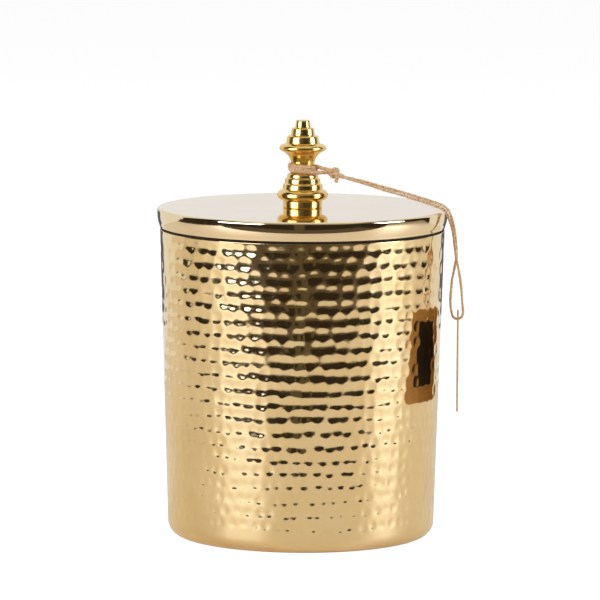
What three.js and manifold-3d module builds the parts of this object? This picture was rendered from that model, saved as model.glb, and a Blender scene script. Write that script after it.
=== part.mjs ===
// A lidded candle tin: a tapered hammered vessel, a spun lid with a turned knob, and a card
// tag on a loop of jute twine that hangs over the lid's edge. Millimetres, +Z up, origin at the
// middle of the ring that the vessel stands on. The tag hangs on the +X side, towards -Y.
import * as THREE from 'three';
import { mergeVertices } from 'three/addons/utils/BufferGeometryUtils.js';
import Module from 'manifold-3d';

// ---- driving dimensions -----------------------------------------------------------------
// vessel
const VESSEL_HEIGHT = 128.1;      // floor to the top of the rim
const VESSEL_TOP_RADIUS = 58.9;
const VESSEL_BASE_RADIUS = 55.3;
const VESSEL_CORNER_RADIUS = 6;
const VESSEL_SHEET = 0.9;
const RIM_THICKNESS = 1.8;        // the sheet turned over on itself
const RIM_DEPTH = 3.5;
const BASE_RECESS = 1.0;
const STANDING_RING_WIDTH = 2.5;
const LABEL_RADIUS = 33;
const LABEL_THICKNESS = 0.2;

// candle
const WAX_LEVEL = 95;             // top of the wax above the floor
const WICK_COUNT = 3;
const WICK_CIRCLE_RADIUS = 25;
const WICK_RADIUS = 1.3;
const WICK_STANDS_PROUD = 8;
const TAB_RADIUS = 7.5;
const TAB_SHEET = 0.5;
const TAB_NECK_RADIUS = 2.1;
const TAB_NECK_HEIGHT = 6;
const GLUE_RADIUS = 6;
const GLUE_THICKNESS = 0.7;

// lid
const LID_RADIUS = 60;
const LID_EDGE_RADIUS = 59.1;     // the skirt draws in slightly towards its lower edge
const LID_HEIGHT = 7.74;
const LID_SHOULDER_RADIUS = 0.8;
const LID_SHEET = 1.0;
const LID_GAP = 0.6;              // open line between the rim and the skirt
const COLLAR_DEPTH = 8;           // how far the collar reaches below the rim
const COLLAR_SHEET = 0.8;
const COLLAR_CLEARANCE = 0.35;
const GASKET_THICKNESS = 0.5;
const GASKET_SETBACK = 0.6;       // how far the gasket hides behind the skirt

// knob and its fixing
const KNOB_BORE_RADIUS = 2.15;
const KNOB_BORE_DEPTH = 8.5;
const SCREW_RADIUS = 1.95;
const SCREW_REACH = 7.5;
const SCREW_HEAD_RADIUS = 3.8;
const SCREW_HEAD_HEIGHT = 2.4;
const WASHER_RADIUS = 5.5;
const WASHER_THICKNESS = 0.8;
const HOLE_CLEARANCE = 0.35;

// twine and tag
const TWINE_RADIUS = 0.55;
const TAG_WIDTH = 34;
const TAG_HEIGHT = 38.2;
const TAG_THICKNESS = 0.8;
const TAG_CORNER_RADIUS = 1.2;
const TAG_HOLE_RADIUS = 1.5;
const TAG_HOLE_DROP = 2.5;        // hole centre below the tag's top edge
const TAG_HANGS = 0.65;           // hole centre below the twine that carries it
const TAG_TURN = THREE.MathUtils.degToRad(-1.6);

// fits and fineness
const SEAT = 0.05;                // open line between coaxial pieces that rest on each other
const FIT = 0.15;                 // open line round the wax, a wick or a screw
const ROUND = 72;                 // segments round the vessel and the lid
const ROUND_SMALL = 36;
const ROUND_TINY = 16;

// ---- places worked out from the dimensions -------------------------------------------------
const FLOOR_TOP = BASE_RECESS + VESSEL_SHEET;
const MOUTH_RADIUS = VESSEL_TOP_RADIUS - RIM_THICKNESS;
const LID_BOTTOM = VESSEL_HEIGHT + LID_GAP;
const LID_TOP = LID_BOTTOM + LID_HEIGHT;
const LID_UNDERSIDE = LID_TOP - LID_SHEET;
const COLLAR_RADIUS = MOUTH_RADIUS - COLLAR_CLEARANCE;
const TAB_BOTTOM = FLOOR_TOP + GLUE_THICKNESS + 2 * SEAT;

function wallRadiusAt(z) {
  const share = (z - VESSEL_CORNER_RADIUS) / (VESSEL_HEIGHT - VESSEL_CORNER_RADIUS);
  return VESSEL_BASE_RADIUS + (VESSEL_TOP_RADIUS - VESSEL_BASE_RADIUS) * share;
}

// ---- shape helpers ------------------------------------------------------------------------
const v2 = (radius, z) => new THREE.Vector2(radius, z);

// points on an arc in the profile plane, angles in degrees from the outward direction
function arc(centreRadius, centreZ, radius, from, to, steps) {
  const points = [];
  for (let i = 0; i <= steps; i += 1) {
    const angle = THREE.MathUtils.degToRad(from + ((to - from) * i) / steps);
    points.push(v2(centreRadius + radius * Math.cos(angle), centreZ + radius * Math.sin(angle)));
  }
  return points;
}

// a welded copy with no collapsed triangles, its faces pointing outwards
function closedBody(geometry) {
  const bare = geometry.index ? geometry.toNonIndexed() : geometry.clone();
  bare.deleteAttribute('normal');
  bare.deleteAttribute('uv');
  const welded = mergeVertices(bare, 1e-4);
  const position = welded.getAttribute('position');
  const index = welded.getIndex().array;
  const corners = [0, 1, 2].map(() => new THREE.Vector3());
  const kept = [];
  let volume = 0;
  for (let i = 0; i < index.length; i += 3) {
    const [a, b, c] = [index[i], index[i + 1], index[i + 2]];
    if (a === b || b === c || c === a) continue;
    [a, b, c].forEach((vertex, k) => corners[k].fromBufferAttribute(position, vertex));
    volume += corners[0].dot(corners[1].clone().cross(corners[2]));
    kept.push(a, b, c);
  }
  if (volume < 0) {
    for (let i = 0; i < kept.length; i += 3) {
      [kept[i], kept[i + 1]] = [kept[i + 1], kept[i]];
    }
  }
  welded.setIndex(kept);
  return welded;
}

// a profile turned round the Z axis
function turned(profile, segments) {
  const geometry = new THREE.LatheGeometry(profile, segments);
  geometry.rotateX(Math.PI / 2);
  return closedBody(geometry);
}

// a profile that goes all round a ring's section
function turnedRing(profile, segments) {
  return turned([...profile, profile[0].clone()], segments);
}

// a round cord of eight sides along hand-placed points
function tube(points, steps) {
  const route = new THREE.CatmullRomCurve3(points.map((p) => new THREE.Vector3(...p)));
  const section = new THREE.Shape(
    Array.from({ length: 8 }, (_, i) => {
      const angle = (i * Math.PI) / 4;
      return v2(TWINE_RADIUS * Math.cos(angle), TWINE_RADIUS * Math.sin(angle));
    }),
  );
  return closedBody(new THREE.ExtrudeGeometry(section, { steps, extrudePath: route }));
}

// ---- joining and cutting ------------------------------------------------------------------
const wasm = await Module();
wasm.setup();

function toSolid(geometry) {
  return new wasm.Manifold(
    new wasm.Mesh({
      numProp: 3,
      vertProperties: new Float32Array(geometry.getAttribute('position').array),
      triVerts: new Uint32Array(geometry.getIndex().array),
    }),
  );
}

function fromSolid(solid) {
  const mesh = solid.getMesh();
  const geometry = new THREE.BufferGeometry();
  geometry.setAttribute('position', new THREE.Float32BufferAttribute(mesh.vertProperties, 3));
  geometry.setIndex(Array.from(mesh.triVerts));
  return geometry;
}

// ---- materials ----------------------------------------------------------------------------
function finish(color, roughness, metalness) {
  return new THREE.MeshStandardMaterial({ color, roughness, metalness });
}

const HAMMERED_BRASS = finish(0xdcc48c, 0.2, 1);
const POLISHED_BRASS = finish(0xe2c88a, 0.08, 1);
const TURNED_BRASS = finish(0xd8a63c, 0.1, 1);
const STEEL = finish(0xb8b8b8, 0.35, 1);
const SILICONE = finish(0x2a2622, 0.6, 0);
const WAX = finish(0xf3ead6, 0.5, 0);
const COTTON = finish(0xf1ece0, 0.9, 0);
const GLUE = finish(0xe8e2cf, 0.5, 0);
const PAPER = finish(0xf4f1ea, 0.8, 0);
const JUTE = finish(0xc7aa8c, 0.9, 0);
const KRAFT = finish(0xa98660, 0.85, 0);

const candleTin = new THREE.Group();

function add(name, geometry, material, group = candleTin) {
  const mesh = new THREE.Mesh(geometry, material);
  mesh.name = name;
  group.add(mesh);
  return mesh;
}

// ---- vessel -------------------------------------------------------------------------------
// Drawn sheet: a recessed base inside a standing ring, a rounded corner, a tapered wall and a
// rim turned over inwards.
function vessel() {
  const ringOuter = VESSEL_BASE_RADIUS - VESSEL_CORNER_RADIUS;
  const ringInner = ringOuter - STANDING_RING_WIDTH;
  const innerCorner = VESSEL_CORNER_RADIUS - VESSEL_SHEET;
  const rimRound = RIM_THICKNESS / 2;
  const hemBottom = VESSEL_HEIGHT - RIM_DEPTH;
  const hemFoot = hemBottom - (RIM_THICKNESS - VESSEL_SHEET);
  const rimCentre = VESSEL_TOP_RADIUS - rimRound;
  return turned(
    [
      v2(0, BASE_RECESS),
      v2(ringInner - BASE_RECESS, BASE_RECESS),
      v2(ringInner, 0),
      ...arc(ringOuter, VESSEL_CORNER_RADIUS, VESSEL_CORNER_RADIUS, -90, 0, 6),
      ...arc(rimCentre, VESSEL_HEIGHT - rimRound, rimRound, 0, 180, 6),
      v2(MOUTH_RADIUS, hemBottom),
      v2(wallRadiusAt(hemFoot) - VESSEL_SHEET, hemFoot),
      ...arc(ringOuter, VESSEL_CORNER_RADIUS, innerCorner, 0, -90, 5),
      v2(ringInner, VESSEL_SHEET),
      v2(ringInner - BASE_RECESS, FLOOR_TOP),
      v2(0, FLOOR_TOP),
    ],
    ROUND,
  );
}
add('tin_body', vessel(), HAMMERED_BRASS);

// a plain paper disc stuck in the base recess
function baseLabel() {
  const top = BASE_RECESS - SEAT;
  const bottom = top - LABEL_THICKNESS;
  return turned([v2(0, bottom), v2(LABEL_RADIUS, bottom), v2(LABEL_RADIUS, top), v2(0, top)], ROUND_SMALL);
}
add('base_label', baseLabel(), PAPER);

// ---- candle -------------------------------------------------------------------------------
const WICK_PLACES = Array.from({ length: WICK_COUNT }, (_, i) => {
  const angle = Math.PI / 2 + (i * 2 * Math.PI) / WICK_COUNT;
  return [WICK_CIRCLE_RADIUS * Math.cos(angle), WICK_CIRCLE_RADIUS * Math.sin(angle)];
});

// a wick, the steel tab crimped round its foot and the dot of glue under the tab
const WICK_TOP = WAX_LEVEL + WICK_STANDS_PROUD;
const WICK_BOTTOM = TAB_BOTTOM + FIT;
const TAB_TOP = TAB_BOTTOM + TAB_SHEET + TAB_NECK_HEIGHT;

function wick() {
  return turned(
    [v2(0, WICK_BOTTOM), v2(WICK_RADIUS, WICK_BOTTOM), v2(WICK_RADIUS, WICK_TOP), v2(0, WICK_TOP)],
    ROUND_TINY,
  );
}

function wickTab() {
  const bore = WICK_RADIUS + FIT;
  const plateTop = TAB_BOTTOM + TAB_SHEET;
  return turnedRing(
    [
      v2(bore, TAB_BOTTOM),
      v2(TAB_RADIUS, TAB_BOTTOM),
      v2(TAB_RADIUS, plateTop),
      v2(TAB_NECK_RADIUS, plateTop),
      v2(TAB_NECK_RADIUS, TAB_TOP),
      v2(bore, TAB_TOP),
    ],
    ROUND_TINY,
  );
}

function glueDot() {
  const bottom = FLOOR_TOP + SEAT;
  const top = bottom + GLUE_THICKNESS;
  return turned([v2(0, bottom), v2(GLUE_RADIUS, bottom), v2(GLUE_RADIUS, top), v2(0, top)], ROUND_TINY);
}

WICK_PLACES.forEach(([x, y], i) => {
  add(`wick_${i + 1}`, wick(), COTTON).position.set(x, y, 0);
  add(`wick_tab_${i + 1}`, wickTab(), STEEL).position.set(x, y, 0);
  add(`wick_glue_dot_${i + 1}`, glueDot(), GLUE).position.set(x, y, 0);
});

// the poured wax fills the vessel round the wicks, their tabs and the glue
function wax() {
  const bottom = FLOOR_TOP + SEAT;
  const ringOuter = VESSEL_BASE_RADIUS - VESSEL_CORNER_RADIUS;
  const cornerRadius = VESSEL_CORNER_RADIUS - VESSEL_SHEET - FIT;
  const firstAngle = -THREE.MathUtils.radToDeg(Math.asin((VESSEL_CORNER_RADIUS - bottom) / cornerRadius));
  const body = turned(
    [
      v2(0, bottom),
      ...arc(ringOuter, VESSEL_CORNER_RADIUS, cornerRadius, firstAngle, 0, 4),
      v2(wallRadiusAt(WAX_LEVEL) - VESSEL_SHEET - FIT, WAX_LEVEL),
      v2(0, WAX_LEVEL),
    ],
    ROUND,
  );
  const plateTop = TAB_BOTTOM + TAB_SHEET + FIT;
  const past = 1;
  const hole = turned(
    [
      v2(0, bottom - past),
      v2(TAB_RADIUS + FIT, bottom - past),
      v2(TAB_RADIUS + FIT, plateTop),
      v2(TAB_NECK_RADIUS + FIT, plateTop),
      v2(TAB_NECK_RADIUS + FIT, TAB_TOP + FIT),
      v2(WICK_RADIUS + FIT, TAB_TOP + FIT),
      v2(WICK_RADIUS + FIT, WAX_LEVEL + past),
      v2(0, WAX_LEVEL + past),
    ],
    ROUND_TINY,
  );
  let solid = toSolid(body);
  for (const [x, y] of WICK_PLACES) {
    solid = solid.subtract(toSolid(hole.clone().translate(x, y, 0)));
  }
  return fromSolid(solid);
}
add('wax_fill', wax(), WAX);

// ---- lid ----------------------------------------------------------------------------------
const SCREW_HOLE_RADIUS = SCREW_RADIUS + HOLE_CLEARANCE;

function lid() {
  const shoulderCentre = LID_RADIUS - LID_SHOULDER_RADIUS;
  return turnedRing(
    [
      v2(SCREW_HOLE_RADIUS, LID_UNDERSIDE),
      v2(LID_RADIUS - LID_SHEET, LID_UNDERSIDE),
      v2(LID_EDGE_RADIUS - LID_SHEET, LID_BOTTOM),
      v2(LID_EDGE_RADIUS, LID_BOTTOM),
      ...arc(shoulderCentre, LID_TOP - LID_SHOULDER_RADIUS, LID_SHOULDER_RADIUS, 0, 90, 4),
      v2(SCREW_HOLE_RADIUS, LID_TOP),
    ],
    ROUND,
  );
}
add('lid', lid(), POLISHED_BRASS);

// the ring under the lid that centres it in the mouth
function lidCollar() {
  const bottom = VESSEL_HEIGHT - COLLAR_DEPTH;
  const top = LID_UNDERSIDE - SEAT;
  const inner = COLLAR_RADIUS - COLLAR_SHEET;
  return turnedRing([v2(inner, bottom), v2(COLLAR_RADIUS, bottom), v2(COLLAR_RADIUS, top), v2(inner, top)], ROUND);
}
add('lid_collar', lidCollar(), POLISHED_BRASS);

// a flat silicone ring round the collar, between the rim and the skirt
function lidGasket() {
  const bottom = VESSEL_HEIGHT + SEAT;
  const top = bottom + GASKET_THICKNESS;
  const inner = COLLAR_RADIUS + FIT;
  const outer = LID_EDGE_RADIUS - GASKET_SETBACK;
  return turnedRing([v2(inner, bottom), v2(outer, bottom), v2(outer, top), v2(inner, top)], ROUND);
}
add('lid_gasket', lidGasket(), SILICONE);

// ---- knob ---------------------------------------------------------------------------------
// Turned brass: a foot and a bead, rings that step in to a waist, a flare up to a saucer, and
// tiers that step in to a button. Heights are above the lid.
const KNOB_HEIGHT = 36.3;
const WAIST = { radius: 4.7, bottom: 13.9, top: 18.7 };

function knob() {
  const z = LID_TOP + SEAT;
  const up = (radius, height) => v2(radius, z + height);
  const flare = new THREE.QuadraticBezierCurve(up(5.2, 19.3), up(5.9, 21.6), up(9.5, 23.9)).getPoints(4);
  return turned(
    [
      up(0, KNOB_BORE_DEPTH),
      up(KNOB_BORE_RADIUS, KNOB_BORE_DEPTH),
      up(KNOB_BORE_RADIUS, 0),
      up(8.1, 0),
      up(8.1, 3),
      ...arc(8.5, z + 5.4, 2, -65, 65, 6),
      up(8.3, 7.5),
      up(8.2, 9.6),
      up(7.3, 9.9),
      up(7.2, 11.7),
      up(6.5, 12),
      up(6.2, 13.5),
      up(WAIST.radius, WAIST.bottom),
      up(WAIST.radius, WAIST.top),
      ...flare,
      up(9.7, 24.6),
      up(9.1, 25.6),
      up(7.1, 26.6),
      up(6.7, 29.6),
      up(5, 29.9),
      up(4.8, 32.8),
      up(3.3, 33.1),
      up(3, 35.7),
      up(2.3, KNOB_HEIGHT),
      up(0, KNOB_HEIGHT),
    ],
    ROUND_SMALL,
  );
}
add('knob', knob(), TURNED_BRASS);

function knobWasher() {
  const top = LID_UNDERSIDE - SEAT;
  const bottom = top - WASHER_THICKNESS;
  return turnedRing(
    [v2(SCREW_HOLE_RADIUS, bottom), v2(WASHER_RADIUS, bottom), v2(WASHER_RADIUS, top), v2(SCREW_HOLE_RADIUS, top)],
    ROUND_SMALL,
  );
}
add('knob_washer', knobWasher(), STEEL);

function knobScrew() {
  const headTop = LID_UNDERSIDE - WASHER_THICKNESS - 2 * SEAT;
  const headBottom = headTop - SCREW_HEAD_HEIGHT;
  const headRound = 0.8;
  return turned(
    [
      v2(0, headBottom),
      v2(SCREW_HEAD_RADIUS - headRound, headBottom),
      v2(SCREW_HEAD_RADIUS, headBottom + headRound),
      v2(SCREW_HEAD_RADIUS, headTop),
      v2(SCREW_RADIUS, headTop),
      v2(SCREW_RADIUS, LID_TOP + SCREW_REACH),
      v2(0, LID_TOP + SCREW_REACH),
    ],
    ROUND_TINY,
  );
}
add('knob_screw', knobScrew(), STEEL);

// ---- twine and tag ------------------------------------------------------------------------
// The twine is wound round the knob's waist and knotted beside it. Two strands run from the
// knot over the lid's edge, hang down, cross, and open into the loop that carries the tag.
// All of it hangs from the lid, so its heights count from the lid's top.
const hanging = new THREE.Group();
hanging.position.z = LID_TOP;
candleTin.add(hanging);

function neckTurns() {
  const inner = WAIST.radius + FIT;
  const outer = inner + 2 * TWINE_RADIUS;
  const round = TWINE_RADIUS * 0.6;
  const bottom = WAIST.bottom + FIT;
  const top = WAIST.top - FIT;
  return turnedRing(
    [
      v2(inner, bottom),
      v2(outer - round, bottom),
      v2(outer, bottom + round),
      v2(outer, top - round),
      v2(outer - round, top),
      v2(inner, top),
    ],
    ROUND_SMALL,
  );
}
add('twine_neck_turns', neckTurns(), JUTE, hanging);

const KNOT_PLACE = [12.6, -3.5, 14.86];
const KNOT_HALF = { length: 2.7, width: 2.1, height: 2.4 };

function knot() {
  const geometry = turned(arc(0, 0, 1, -90, 90, 8), ROUND_TINY);
  return geometry.scale(KNOT_HALF.length, KNOT_HALF.width, KNOT_HALF.height);
}
add('twine_knot', knot(), JUTE, hanging).position.set(...KNOT_PLACE);

const LOWER_STRAND = [
  [16.4, -5.05, 13.26],
  [26.1, -7.5, 10.56],
  [36.0, -9.9, 7.71],
  [45.8, -12.5, 5.16],
  [52.5, -14.3, 3.16],
  [57.2, -15.6, 1.41],
];
const UPPER_STRAND = [
  [16.4, -3.75, 13.36],
  [26.1, -6.5, 11.36],
  [36.0, -9.6, 8.91],
  [45.8, -12.3, 6.41],
  [52.5, -14.0, 4.46],
  [57.6, -15.5, 2.76],
];
const LOOP = [
  [58.63, -15.93, 0.31],
  [59.75, -16.3, -1.54],
  [60.75, -16.75, -4.44],
  [61.6, -17.0, -7.84],
  [62.1, -17.1, -11.44],
  [62.75, -17.35, -15.44],
  [63.3, -17.7, -18.74],
  [64.2, -17.6, -22.84],
  [64.9, -17.35, -26.64],
  [65.5, -17.15, -30.94],
  [65.85, -17.05, -35.44],
  [66.1, -17.0, -39.24],
  [65.74, -17.0, -42.54],
  [65.1, -17.0, -43.59],
  [64.0, -17.0, -43.99],
  [62.9, -17.0, -43.59],
  [62.26, -17.0, -42.54],
  [61.2, -17.0, -38.84],
  [61.1, -17.05, -35.44],
  [61.35, -17.0, -31.94],
  [61.6, -16.9, -28.44],
  [62.25, -16.7, -24.84],
  [62.9, -16.4, -21.84],
  [63.4, -16.25, -18.74],
  [63.5, -16.3, -15.64],
  [63.4, -16.3, -11.64],
  [62.9, -16.3, -7.84],
  [62.3, -16.3, -4.84],
  [61.3, -16.3, -1.74],
  [60.3, -16.2, 0.26],
  [59.35, -16.1, 1.56],
];
add('twine_lower_strand', tube(LOWER_STRAND, 16), JUTE, hanging);
add('twine_upper_strand', tube(UPPER_STRAND, 16), JUTE, hanging);
add('twine_loop', tube(LOOP, 64), JUTE, hanging);

// a plain card hung by a hole near its top edge, standing on edge to the front
const LOOP_FOOT = [64.2, -17.0, -43.99];

function tag() {
  const half = TAG_WIDTH / 2;
  const top = TAG_HOLE_DROP;
  const bottom = top - TAG_HEIGHT;
  const r = TAG_CORNER_RADIUS;
  const outline = new THREE.Shape();
  outline.moveTo(-half + r, bottom);
  outline.lineTo(half - r, bottom);
  outline.absarc(half - r, bottom + r, r, -Math.PI / 2, 0);
  outline.lineTo(half, top - r);
  outline.absarc(half - r, top - r, r, 0, Math.PI / 2);
  outline.lineTo(-half + r, top);
  outline.absarc(-half + r, top - r, r, Math.PI / 2, Math.PI);
  outline.lineTo(-half, bottom + r);
  outline.absarc(-half + r, bottom + r, r, Math.PI, 1.5 * Math.PI);
  outline.holes.push(new THREE.Path().absarc(0, 0, TAG_HOLE_RADIUS, 0, 2 * Math.PI, true));
  const card = new THREE.ExtrudeGeometry(outline, {
    depth: TAG_THICKNESS,
    bevelEnabled: false,
    curveSegments: 6,
  });
  // the card's width goes along Y and its thickness along X
  card.translate(0, 0, -TAG_THICKNESS / 2).rotateX(Math.PI / 2).rotateZ(Math.PI / 2);
  return closedBody(card);
}
const swingTag = add('swing_tag', tag(), KRAFT, hanging);
swingTag.position.set(LOOP_FOOT[0], LOOP_FOOT[1], LOOP_FOOT[2] - TAG_HANGS);
swingTag.rotation.z = TAG_TURN;

export default candleTin;
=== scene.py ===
# A candle tin: a hammered brass vessel with a polished lid, a turned knob, and a card tag that
# hangs on jute twine. Metres, +Z up, the tin's axis at X = Y = 0, the front towards -Y.
import math
import random

import bmesh
import bpy
import numpy as np
from mathutils import Matrix, Vector
from mathutils.geometry import interpolate_bezier


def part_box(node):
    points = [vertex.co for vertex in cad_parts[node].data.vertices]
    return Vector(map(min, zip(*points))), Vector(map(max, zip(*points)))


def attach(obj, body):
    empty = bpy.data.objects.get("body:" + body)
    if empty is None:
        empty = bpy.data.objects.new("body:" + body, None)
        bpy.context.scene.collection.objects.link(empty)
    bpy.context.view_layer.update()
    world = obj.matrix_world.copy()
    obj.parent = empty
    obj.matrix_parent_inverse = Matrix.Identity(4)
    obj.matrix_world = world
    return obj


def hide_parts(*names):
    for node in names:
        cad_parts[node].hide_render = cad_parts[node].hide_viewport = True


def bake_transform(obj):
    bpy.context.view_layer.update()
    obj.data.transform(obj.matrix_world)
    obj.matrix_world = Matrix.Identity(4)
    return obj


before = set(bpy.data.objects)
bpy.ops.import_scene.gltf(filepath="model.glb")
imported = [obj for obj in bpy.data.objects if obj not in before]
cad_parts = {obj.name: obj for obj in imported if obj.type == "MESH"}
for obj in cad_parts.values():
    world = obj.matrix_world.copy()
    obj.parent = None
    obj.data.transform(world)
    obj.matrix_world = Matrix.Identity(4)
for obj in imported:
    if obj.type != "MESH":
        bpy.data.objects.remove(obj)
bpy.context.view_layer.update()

MM = 0.001
scene = bpy.context.scene


# ---- camera and studio ----------------------------------------------------------------------
# A long lens looks slightly down on the tin, which stands on a small pale table before a white
# sweep. Large soft lights stand to the left and right; the room in front of the table is dark.
camera_distance = 2.2968
camera_height = 0.37845
camera_tilt = math.radians(6.966)
camera_roll = math.radians(0.332)

camera_data = bpy.data.cameras.new("camera")
camera_data.sensor_width = 36
camera_data.lens = 334.94
camera_data.shift_x = -0.00324
camera = bpy.data.objects.new("camera", camera_data)
camera.matrix_world = (
    Matrix.Translation((0, -camera_distance, camera_height))
    @ Matrix.Rotation(math.pi / 2 - camera_tilt, 4, "X")
    @ Matrix.Rotation(camera_roll, 4, "Z")
)
scene.collection.objects.link(camera)
scene.camera = camera
scene.view_settings.view_transform = "Standard"


def piece_from(name, shape, smooth=False):
    """Makes an object at the origin from a bmesh, and frees the bmesh."""
    mesh = bpy.data.meshes.new(name)
    shape.to_mesh(mesh)
    shape.free()
    for polygon in mesh.polygons:
        polygon.use_smooth = smooth
    piece = bpy.data.objects.new(name, mesh)
    scene.collection.objects.link(piece)
    return piece


def stage_card(name, corners, colour, glow, glow_colour, to_camera=False, roughness=0.9):
    """A flat sheet of the studio, for light and reflections only, or for the camera only."""
    sheet = bmesh.new()
    sheet.faces.new([sheet.verts.new(c) for c in corners])
    card = piece_from(name, sheet)
    paint = bpy.data.materials.new(name)
    paint.use_nodes = True
    shader = paint.node_tree.nodes["Principled BSDF"]
    shader.inputs["Base Color"].default_value = (*colour, 1)
    shader.inputs["Roughness"].default_value = roughness
    shader.inputs["Emission Color"].default_value = (*glow_colour, 1)
    shader.inputs["Emission Strength"].default_value = glow
    card.data.materials.append(paint)
    card.visible_camera = to_camera
    card.visible_diffuse = not to_camera
    card.visible_glossy = not to_camera
    card.visible_shadow = not to_camera


def soft_light(name, place, aim, size, power):
    """A rectangular soft light that shows in reflections and not to the camera."""
    data = bpy.data.lights.new(name, "AREA")
    data.shape = "RECTANGLE"
    data.size, data.size_y = size
    data.energy = power
    data.color = daylight
    lamp = bpy.data.objects.new(name, data)
    lamp.location = place
    lamp.rotation_euler = (Vector(aim) - Vector(place)).to_track_quat("-Z", "Y").to_euler()
    lamp.visible_camera = False
    scene.collection.objects.link(lamp)


def level_rectangle(left, right, front, back, height):
    """The corners of a level sheet."""
    outline = ((left, front), (right, front), (right, back), (left, back))
    return [(x, y, height) for x, y in outline]


white = (1, 1, 1)
black = (0, 0, 0)
grey = (0.5, 0.5, 0.5)
pale_wood = (0.84, 0.76, 0.64)
dark_wood = (0.1, 0.08, 0.06)
daylight = (0.86, 0.98, 1.34)
sweep_white = (0.93, 0.95, 1)
sweep_place = 0.45
sweep_lean = 0.115
stage_card(
    "floor", level_rectangle(-6, 6, -6, 9, -0.0002), grey, 0.95, white, to_camera=True
)
stage_card(
    "table",
    level_rectangle(-0.95, 1.6, -0.41, 0.45, -0.0004),
    pale_wood,
    0.14,
    (1, 0.9, 0.76),
    roughness=0.55,
)
stage_card(
    "dark_floor", level_rectangle(-5, 5, -5, 1.5, -0.75), dark_wood, 0.09, (1, 0.8, 0.6)
)
stage_card(
    "camera_stand",
    [(-0.28, -2.6, -0.7), (0.08, -2.6, -0.7), (0.08, -2.6, 1.4), (-0.28, -2.6, 1.4)],
    black,
    0.1,
    (1, 0.85, 0.6),
)
for name, left, right, foot, head, glow in (
    ("sweep", -1.45, 0.85, 0.13, 1.3, 0.9),
    ("sweep_foot", -1.45, 0.85, 0, 0.03, 0.9),
    ("sweep_left", -1.45, -0.27, 0.03, 0.13, 0.9),
    ("sweep_right", 0.27, 0.85, 0.03, 0.13, 0.9),
    ("sweep_shadow", -0.27, 0.27, 0.03, 0.13, 0.12),
):
    front, back = (sweep_place + sweep_lean * height for height in (foot, head))
    corners = [(left, front, foot), (right, front, foot), (right, back, head), (left, back, head)]
    stage_card(name, corners, black, glow, sweep_white)
stage_card(
    "window",
    [(1.5, -0.42, 0.16), (1.5, -0.2, 0.16), (1.5, -0.2, 0.42), (1.5, -0.42, 0.42)],
    black,
    0.5,
    (0.6, 0.85, 1),
)
stage_card(
    "ceiling", level_rectangle(-2.5, 2.5, -4.5, -0.6, 2.2), black, 0.35, (1, 0.92, 0.82)
)
stage_card("top_panel", level_rectangle(-0.6, 0.6, -0.35, 0.85, 1.3), black, 0.95, white)
soft_light("left_light", (-0.84, -0.7, 0.385), (0, 0, 0.12), (0.75, 0.62), 8.5)
soft_light("right_light", (0.99, -0.27, 0.44), (0, 0, 0.12), (0.46, 0.6), 6.2)

world = bpy.data.worlds.new("room")
world.use_nodes = True
links = world.node_tree.links
dark = world.node_tree.nodes["Background"]
dark.inputs["Color"].default_value = (0.03, 0.024, 0.018, 1)
bright = world.node_tree.nodes.new("ShaderNodeBackground")
bright.inputs["Color"].default_value = (1, 1, 1, 1)
seen = world.node_tree.nodes.new("ShaderNodeLightPath")
either = world.node_tree.nodes.new("ShaderNodeMixShader")
links.new(seen.outputs["Is Camera Ray"], either.inputs[0])
links.new(dark.outputs[0], either.inputs[1])
links.new(bright.outputs[0], either.inputs[2])
links.new(either.outputs[0], world.node_tree.nodes["World Output"].inputs["Surface"])
scene.world = world


# ---- twine ------------------------------------------------------------------------------------
# Natural jute, three thin plies laid together, a little over a millimetre thick. One length
# leaves the knot, crosses the lid's edge, carries the tag in its loop and comes back to the knot.
lid_low, lid_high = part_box("lid")
lid_top = lid_high.z
twine_thickness = 1.1 * MM

# places in millimetres, their heights counted from the lid's top
lower_strand = [
    (16.4, -5.05, 13.26),
    (26.1, -7.5, 10.56),
    (36.0, -9.9, 7.71),
    (45.8, -12.5, 5.16),
    (52.5, -14.3, 3.16),
    (57.2, -15.6, 1.41),
]
hanging_loop = [
    (58.63, -15.93, 0.31),
    (59.75, -16.3, -1.54),
    (60.9, -16.7, -4.44),
    (61.8, -16.9, -7.84),
    (62.35, -17.0, -11.44),
    (62.9, -17.25, -15.44),
    (63.3, -17.7, -18.74),
    (64.2, -17.6, -22.84),
    (64.9, -17.35, -26.64),
    (65.5, -17.15, -30.94),
    (65.85, -17.05, -35.44),
    (66.2, -17.0, -39.3),
    (66.3, -17.0, -41.7),
    (65.63, -17.0, -43.33),
    (64.0, -17.0, -43.99),
    (62.37, -17.0, -43.33),
    (61.7, -17.0, -41.7),
    (61.2, -17.0, -38.84),
    (61.1, -17.05, -35.44),
    (61.35, -17.0, -31.94),
    (61.6, -16.9, -28.44),
    (62.25, -16.7, -24.84),
    (62.9, -16.4, -21.84),
    (63.4, -16.25, -18.74),
    (63.4, -16.3, -15.64),
    (63.15, -16.3, -11.64),
    (62.65, -16.25, -7.84),
    (62.0, -16.25, -4.84),
    (61.15, -16.25, -1.74),
    (60.3, -16.2, 0.26),
    (59.35, -16.1, 1.56),
]
upper_strand = [
    (57.6, -15.5, 2.76),
    (52.5, -14.0, 4.46),
    (45.8, -12.3, 6.41),
    (36.0, -9.6, 8.91),
    (26.1, -6.5, 11.36),
    (16.4, -3.75, 13.36),
]


def placed(points):
    """Points given in millimetres from the lid's top, as places in the frame."""
    return [Vector((x * MM, y * MM, z * MM + lid_top)) for x, y, z in points]


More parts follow.
